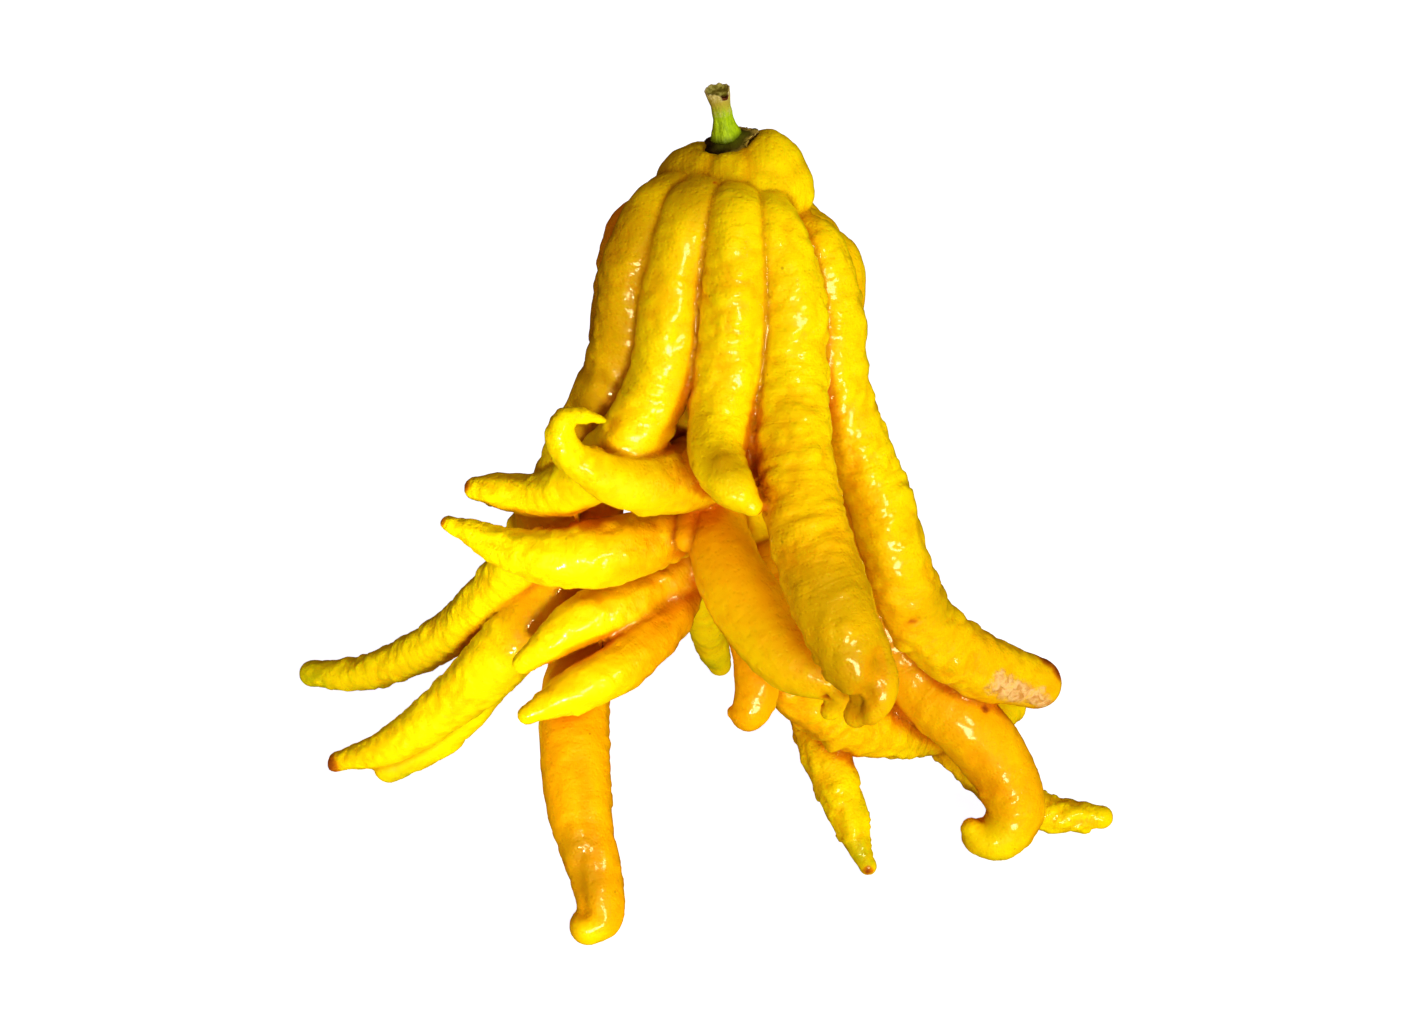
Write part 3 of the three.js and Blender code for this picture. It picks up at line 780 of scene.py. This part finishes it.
# Where the cut end is broken away in front, as an angle round the stalk, how wide, and how deep in mm.
STALK_BREAK = -0.95
STALK_BREAK_WIDTH = 0.5
STALK_BREAK_DEPTH = 1.5
# How far the stalk starts above its root, and how far it bends sideways, in mm.
STALK_FOOT = 0.6
STALK_BEND = 0.5


def stalk_object():
    """A short ribbed stalk, bent a little, with a scar round its neck and a frayed hollow end."""
    shares = np.linspace(0, 1, STALK_ROWS)
    radii = np.interp(shares, *np.array(STALK_OUTLINE).T)
    radii[1:-1] = np.convolve(radii, (0.25, 0.5, 0.25), "valid")
    end_radius = STALK_OUTLINE[-1][1]
    points, marks = [], []

    def add_ring(share, radius, drop, inside):
        for turn, way in spokes(STALK_SIDES):
            ribs = 0.11 * math.cos(5 * turn + 0.8) * (1 - share) + 0.05 * math.cos(11 * turn + 3 * share)
            ribs += ripple(way, (0.14, 2.2, share * 5), (0.07, 6, share * 11))
            frayed = ripple(way, (0.42, 3.2, 8.8), (0.25, 11, 2.2))
            edge = smooth(0.9, 1.0, share) * (1 - inside)
            height = STALK_FOOT + share * STALK_LENGTH + frayed * edge - drop
            away = math.atan2(way[1], way[0]) - STALK_BREAK
            broken = math.exp(-((away / STALK_BREAK_WIDTH) ** 2))
            outer = radius / end_radius
            height -= STALK_BREAK_DEPTH * broken * smooth(0.8, 1.0, share) * smooth(0.2, 0.7, outer)
            reach = max(radius + ribs * (1 - 0.8 * inside), 0.03)
            bend = STALK_BEND * (share**2 - share)
            points.append((reach * way[0] - bend, reach * way[1], height))
            torn = broken * smooth(0.78, 0.95, share) * smooth(0.1, 0.6, outer)
            marks.append((share, inside, torn))

    for share, radius in zip(shares, radii):
        add_ring(share, radius, 0, 0)
    for share, depth in STALK_HOLLOW:
        add_ring(1.0, radii[-1] * share, depth, smooth(0.95, 0.8, share))
    faces = tube_faces(STALK_ROWS + len(STALK_HOLLOW), STALK_SIDES)
    stalk = mesh_object("cut_stalk", leaning(points, STALK_ROOT, STALK_UP), faces)
    for name, values in zip(("along", "hollow", "torn"), np.array(marks).T):
        store(stalk, name, values)
    store(stalk, "fibre", np.array(points) * [1.0, 1.0, 0.18])
    return stalk


# ---------------- materials

def linear(red, green, blue):
    """A screen colour, 0 to 255, as Blender's linear colour."""
    shares = (red / 255, green / 255, blue / 255)
    values = [c / 12.92 if c < 0.04045 else ((c + 0.055) / 1.055) ** 2.4 for c in shares]
    return (*values, 1.0)


class Graph:
    """A material's node tree, built by short calls."""

    def __init__(self, name):
        self.material = bpy.data.materials.new(name)
        self.material.use_nodes = True
        self.tree = self.material.node_tree
        self.shader = self.tree.nodes["Principled BSDF"]

    def add(self, kind, inputs=None, **settings):
        node = self.tree.nodes.new(kind)
        for key, value in settings.items():
            setattr(node, key, value)
        for key, value in (inputs or {}).items():
            self.feed(node.inputs[key], value)
        return node

    def feed(self, socket, value):
        if isinstance(value, bpy.types.NodeSocket):
            self.tree.links.new(value, socket)
        else:
            socket.default_value = value

    def mask(self, name):
        return self.add("ShaderNodeAttribute", attribute_name=name).outputs["Fac"]

    def vector(self, name):
        return self.add("ShaderNodeAttribute", attribute_name=name).outputs["Vector"]

    def place(self):
        return self.add("ShaderNodeTexCoord").outputs["Object"]

    def noise(self, where, scale, detail=2.0, rough=0.5, warp=0.0):
        inputs = {"Vector": where, "Scale": scale, "Detail": detail, "Roughness": rough,
                  "Distortion": warp}
        return self.add("ShaderNodeTexNoise", inputs).outputs["Fac"]

    def cells(self, where, scale, output="Distance"):
        return self.add("ShaderNodeTexVoronoi", {"Vector": where, "Scale": scale}).outputs[output]

    def span(self, value, low, high, to_low=0.0, to_high=1.0):
        """value from low to high becomes to_low to to_high, with soft ends."""
        inputs = {"Value": value, "From Min": low, "From Max": high,
                  "To Min": to_low, "To Max": to_high}
        return self.add("ShaderNodeMapRange", inputs, interpolation_type="SMOOTHSTEP").outputs["Result"]

    def math(self, operation, first, second):
        return self.add("ShaderNodeMath", {0: first, 1: second}, operation=operation).outputs["Value"]

    def times(self, first, second):
        return self.math("MULTIPLY", first, second)

    def plus(self, first, second):
        return self.math("ADD", first, second)

    def swing(self, noise, amount):
        """A noise from 0 to 1 turned into one about zero."""
        return self.times(self.math("SUBTRACT", noise, 0.5), amount)

    def mix(self, factor, first, second):
        inputs = {0: factor, 6: first, 7: second}
        return self.add("ShaderNodeMix", inputs, data_type="RGBA").outputs[2]

    def coats(self, colour, *layers):
        """A colour under layers of (how much of it, colour), the last one on top."""
        for factor, paint in layers:
            colour = self.mix(factor, colour, paint)
        return colour

    def bumps(self, *layers):
        """A normal from layers of (height, distance in metres, strength)."""
        normal = None
        for height, distance, strength in layers:
            inputs = {"Height": height, "Distance": distance, "Strength": strength}
            if normal is not None:
                inputs["Normal"] = normal
            normal = self.add("ShaderNodeBump", inputs).outputs["Normal"]
        return normal

    def finish(self, colour, roughness, normal, **fixed):
        inputs = {"Base_Color": colour, "Roughness": roughness, "Normal": normal, **fixed}
        for name, value in inputs.items():
            self.feed(self.shader.inputs[name.replace("_", " ")], value)
        return self.material


LEMON = linear(250, 224, 0)
GOLD = linear(243, 178, 0)
ORANGE = linear(234, 132, 0)
# Painted shade in creases.
CREASE_SHADE = linear(180, 84, 0)
OLIVE = linear(198, 160, 0)
GREEN = linear(168, 172, 4)
BROWN = linear(136, 54, 12)
# The colour of painted shade.
SHADE = linear(184, 134, 0)
# Painted shade in hollows.
HOLLOW_SHADE = linear(198, 92, 0)
SPECK = linear(130, 96, 4)
TAN = linear(206, 112, 0)
SCAB_DARK = linear(202, 142, 84)
SCAB_PALE = linear(238, 198, 150)

CALYX_DARK = linear(38, 20, 8)
CALYX_BROWN = linear(72, 44, 16)
CALYX_FLECK = linear(120, 84, 44)
CALYX_RIM = linear(236, 214, 128)
MOSS = linear(100, 92, 22)
MOSS_INSIDE = linear(84, 92, 12)

BARK_DARK = linear(134, 172, 4)
BARK_LIGHT = linear(178, 214, 14)
BARK_FOOT = linear(92, 112, 4)
BARK_STRAW = linear(178, 166, 66)
BARK_DRY = linear(190, 178, 120)
BARK_SCAR = linear(186, 188, 118)
BARK_FLAKE = linear(226, 222, 190)
PITH_DARK = linear(122, 118, 30)
PITH_PALE = linear(178, 176, 96)
TORN_BROWN = linear(86, 34, 12)

PAPER_DARK = linear(244, 244, 243)
PAPER_LIGHT = linear(248, 248, 247)
FLOOR_TINT = (0.75, 0.84, 1.0, 1.0)


def peel_material():
    """Waxy citrus peel: lemon to orange, olive and green in patches, pitted and finely wrinkled, with
    painted shade in its creases and hollows.
    """
    g = Graph("citron_peel")
    place = g.place()
    closed = g.mask("cavity")
    clouds = g.noise(place, 70, 3.0, 0.55)
    mottle = g.noise(place, 330, 3.0, 0.6)
    warm = g.plus(g.mask("warm"), g.swing(clouds, 0.7))
    # Painted shade: the peel is painted warmer where other fingers close it in.
    warm = g.plus(warm, g.times(closed, 0.35))
    warm = g.plus(warm, g.swing(mottle, 0.22))
    stain = g.span(g.plus(g.mask("brown"), g.swing(mottle, 0.5)), 0.3, 0.95)
    ragged = g.times(g.swing(g.noise(place, 240, 3.0, 0.6), 2.6), g.span(g.mask("scar"), 0, 0.4))
    scar = g.span(g.plus(g.mask("scar"), ragged), 0.15, 0.85)
    scab = g.noise(place, 420, 2.0, 0.55, 0.6)
    scab_colour = g.coats(SCAB_DARK, (g.span(scab, 0.36, 0.6), SCAB_PALE),
                          (g.span(scab, 0.6, 0.68, 0.0, 0.5), GOLD))
    glands = g.cells(place, 900)
    pick = g.cells(place, 300, "Color")
    chosen = g.span(g.add("ShaderNodeSeparateColor", {0: pick}).outputs[0], 0.96, 0.97)
    speck = g.times(g.span(g.cells(place, 300), 0.16, 0.05), chosen)
    colour = g.coats(
        LEMON,
        (g.span(warm, 0.05, 0.8), GOLD),
        (g.span(warm, 0.75, 1.5), ORANGE),
        # Olive patches: partly the peel's own olive, partly painted shade on the crown, rib ends and tip
        # hollow.
        (g.times(g.mask("olive"), g.span(clouds, 0.2, 0.8, 0.7, 0.95)), OLIVE),
        # Painted shade: low places in the relief are painted orange.
        (g.span(g.mask("height"), 0.05, -0.6, 0.0, 0.35), ORANGE),
        # Painted shade: creases and hollows closed in by other fingers are painted deep orange.
        (g.times(g.mask("crease"), g.span(closed, 0.12, 0.5, 0.25, 0.8)), CREASE_SHADE),
        (g.span(closed, 0.5, 0.9, 0.0, 0.8), HOLLOW_SHADE),
        # Painted shade on the far left roots and in soft spots.
        (g.times(g.mask("shade"), g.span(clouds, 0.3, 0.7, 0.75, 0.95)), SHADE),
        (g.times(g.mask("green"), g.span(mottle, 0.3, 0.7, 0.35, 0.8)), GREEN),
        (g.span(g.mask("brown"), 0.02, 0.5, 0.0, 0.9), TAN),
        (g.times(stain, 0.9), BROWN),
        (g.times(scar, 0.9), scab_colour),
        (g.times(speck, 0.5), SPECK),
        (g.span(glands, 0.4, 0.12, 0.0, 0.1), OLIVE),
    )
    stretch = {0: g.vector("ring"), 1: (1.0, 0.22, 0.22)}
    ring = g.add("ShaderNodeVectorMath", stretch, operation="MULTIPLY").outputs[0]
    bumpy = g.mask("bumpy")
    normal = g.bumps(
        (g.times(g.noise(ring, 0.6, 2.0, 0.5, 0.4), bumpy), 0.0008, 0.45),
        (g.times(g.noise(place, 170, 2.0, 0.45), bumpy), 0.0012, 0.6),
        (g.noise(place, 480, 2.0, 0.5), 0.0005, 0.45),
        (g.span(glands, 0.0, 0.5), 0.0001, 0.9),
        (g.times(scar, scab), 0.0007, 0.9),
    )
    roughness = g.plus(g.span(mottle, 0.3, 0.7, 0.38, 0.5), g.times(scar, 0.25))
    roughness = g.plus(roughness, g.times(stain, 0.3))
    return g.finish(colour, roughness, normal, Specular_IOR_Level=0.12, IOR=1.45,
                    Coat_Weight=0.5, Coat_Roughness=0.1, Subsurface_Weight=0.25,
                    Subsurface_Radius=(1.0, 0.4, 0.05), Subsurface_Scale=0.003)


def calyx_material():
    """Withered sepals: dark brown, mossy on top near the stalk, with a pale torn edge."""
    g = Graph("calyx_bark")
    mottle = g.noise(g.place(), 900, 4.0, 0.65)
    coarse = g.noise(g.place(), 320, 3.0, 0.6)
    above, right = g.mask("above"), g.mask("right")
    torn = g.times(g.times(g.mask("rim"), g.span(right, 0.1, 0.6)), g.span(mottle, 0.35, 0.55))
    colour = g.coats(
        CALYX_DARK,
        (g.span(coarse, 0.35, 0.65), CALYX_BROWN),
        (g.times(g.times(right, above), 0.8), MOSS),
        (g.times(g.mask("middle"), g.times(above, 0.8)), MOSS_INSIDE),
        (g.times(torn, 0.9), CALYX_RIM),
        (g.span(mottle, 0.62, 0.75, 0.0, 0.5), CALYX_FLECK),
    )
    normal = g.bumps((coarse, 0.0006, 0.7), (mottle, 0.0003, 0.7))
    return g.finish(colour, g.span(mottle, 0.3, 0.7, 0.5, 0.8), normal, Specular_IOR_Level=0.3)


def stalk_material():
    """Green bark, fresh at the foot, straw and grey towards the dried end, with a pale scar."""
    g = Graph("stalk_bark")
    along = g.mask("along")
    fibre = g.noise(g.vector("fibre"), 1.6, 4.0, 0.65)
    fine = g.noise(g.place(), 1300, 3.0, 0.6)
    worn = g.plus(along, g.swing(fibre, 0.55))
    scar = g.times(g.span(along, 0.46, 0.55), g.span(along, 0.66, 0.58))
    flake = g.times(g.span(along, 0.8, 0.97), g.span(fine, 0.52, 0.62))
    colour = g.coats(
        BARK_DARK,
        (g.span(fibre, 0.3, 0.7), BARK_LIGHT),
        (g.span(along, 0.16, 0.02), BARK_FOOT),
        (g.span(worn, 0.5, 0.78), BARK_STRAW),
        (g.span(worn, 0.78, 0.98), BARK_DRY),
        (g.times(g.times(scar, g.span(fine, 0.42, 0.56)), 0.6), BARK_SCAR),
        (g.times(flake, 0.75), BARK_FLAKE),
        (g.mask("hollow"), g.mix(g.span(fine, 0.4, 0.65), PITH_DARK, PITH_PALE)),
        (g.span(g.mask("torn"), 0.35, 0.8), TORN_BROWN),
    )
    normal = g.bumps((fibre, 0.0005, 0.6), (fine, 0.0002, 0.6))
    return g.finish(colour, g.span(fine, 0.3, 0.7, 0.42, 0.62), normal, Specular_IOR_Level=0.4)


# ---------------- floor, light and camera

# Half the side of the floor and how far it lies under the table plane, in metres.
FLOOR_HALF = 30.0
FLOOR_DROP = 0.0002
FLOOR_GLOW = 1.0

# What the camera looks at, and from how far, in metres.
TARGET = Vector((AXIS + [-5, 0, 85]) * MM)
DISTANCE = 0.512
ELEVATION = math.radians(30)
LENS = 50.0
SENSOR = 36.0

# The light of the room, the sun that shapes the fruit, and the lamps that shine in its wax: places
# in metres, powers in watts.
ROOM = (1.0, 0.62, 0.24, 1.0)
ROOM_STRENGTH = 0.3
SUN_FROM = Vector((0.78, -0.56, 0.27))
SUN_STRENGTH = 1.4
SUN_ANGLE = math.radians(34)
HIGHLIGHT = (1.0, 0.94, 0.5)
# Lit panels, as (place, target, width, height, power).
PANELS = {
    "key": ((0.30, -0.86, 0.36), (0, 0, 0.10), 0.20, 0.15, 2.2),
    "low_front": ((0.10, -0.79, 0.04), (0, 0, 0.08), 0.24, 0.14, 3.5),
}
SPOT_PLACE = (-0.14, -0.66, 0.04)
SPOT_TARGET = (-0.082, -0.02, 0.066)
SPOT_POWER = 19.0
SPOT_CONE = math.radians(18)
SPOT_BLEND = 0.8
SPOT_RADIUS = 0.055


def floor_object():
    """A plain pale floor, a hair below the table plane."""
    square = ((-1, -1), (1, -1), (1, 1), (-1, 1))
    mesh = bpy.data.meshes.new("floor")
    corners = [(x * FLOOR_HALF, y * FLOOR_HALF, -FLOOR_DROP) for x, y in square]
    mesh.from_pydata(corners, [], [(0, 1, 2, 3)])
    floor = add_object("floor", mesh)
    g = Graph("floor_paper")
    grain = g.noise(g.place(), 400, 2.0, 0.5)
    colour = g.mix(grain, PAPER_DARK, PAPER_LIGHT)
    paper = g.finish(colour, 0.9, g.bumps((grain, 0.0002, 0.1)), Specular_IOR_Level=0.1,
                     Emission_Color=FLOOR_TINT, Emission_Strength=FLOOR_GLOW)
    floor.data.materials.append(paper)
    floor.visible_glossy = False
    floor.visible_diffuse = False


def aim(obj, place, way):
    """Stands a light or a camera at place, facing along way."""
    obj.location = place
    obj.rotation_mode = "QUATERNION"
    obj.rotation_quaternion = Vector(way).to_track_quat("-Z", "Y")


def add_light(name, kind, place, way, energy, tint=HIGHLIGHT, **settings):
    data = bpy.data.lights.new(name, kind)
    data.energy = energy
    data.color = tint
    for key, value in settings.items():
        setattr(data, key, value)
    light = add_object(name, data)
    aim(light, place, way)
    return light


def lighting():
    world = bpy.data.worlds.new("studio")
    world.use_nodes = True
    background = world.node_tree.nodes["Background"]
    background.inputs["Color"].default_value = ROOM
    background.inputs["Strength"].default_value = ROOM_STRENGTH
    world.cycles_visibility.glossy = False
    bpy.context.scene.world = world
    sun = add_light("overhead", "SUN", (0, 0, 0), -SUN_FROM, SUN_STRENGTH, (1, 1, 1), angle=SUN_ANGLE)
    sun.visible_glossy = False
    for name, (place, target, wide, high, power) in PANELS.items():
        panel = add_light(name, "AREA", place, Vector(target) - Vector(place), power,
                          shape="RECTANGLE", size=wide, size_y=high)
        panel.visible_camera = False
    add_light("left", "SPOT", SPOT_PLACE, Vector(SPOT_TARGET) - Vector(SPOT_PLACE), SPOT_POWER,
              spot_size=SPOT_CONE, spot_blend=SPOT_BLEND, shadow_soft_size=SPOT_RADIUS)


def camera():
    data = bpy.data.cameras.new("camera")
    data.lens = LENS
    data.sensor_width = SENSOR
    bpy.context.scene.camera = add_object("camera", data)
    back = Vector((0, -math.cos(ELEVATION), math.sin(ELEVATION)))
    aim(bpy.context.scene.camera, TARGET + back * DISTANCE, -back)


def dress(obj, node, material):
    """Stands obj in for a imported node, on the fruit's body."""
    obj.data.materials.append(material)
    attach(obj, "root")
    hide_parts(node)


camera()
floor_object()
lighting()
dress(peel_object(), "fruit", peel_material())
dress(calyx_object(), "calyx", calyx_material())
dress(stalk_object(), "stalk", stalk_material())
bpy.context.scene.view_settings.view_transform = "Standard"
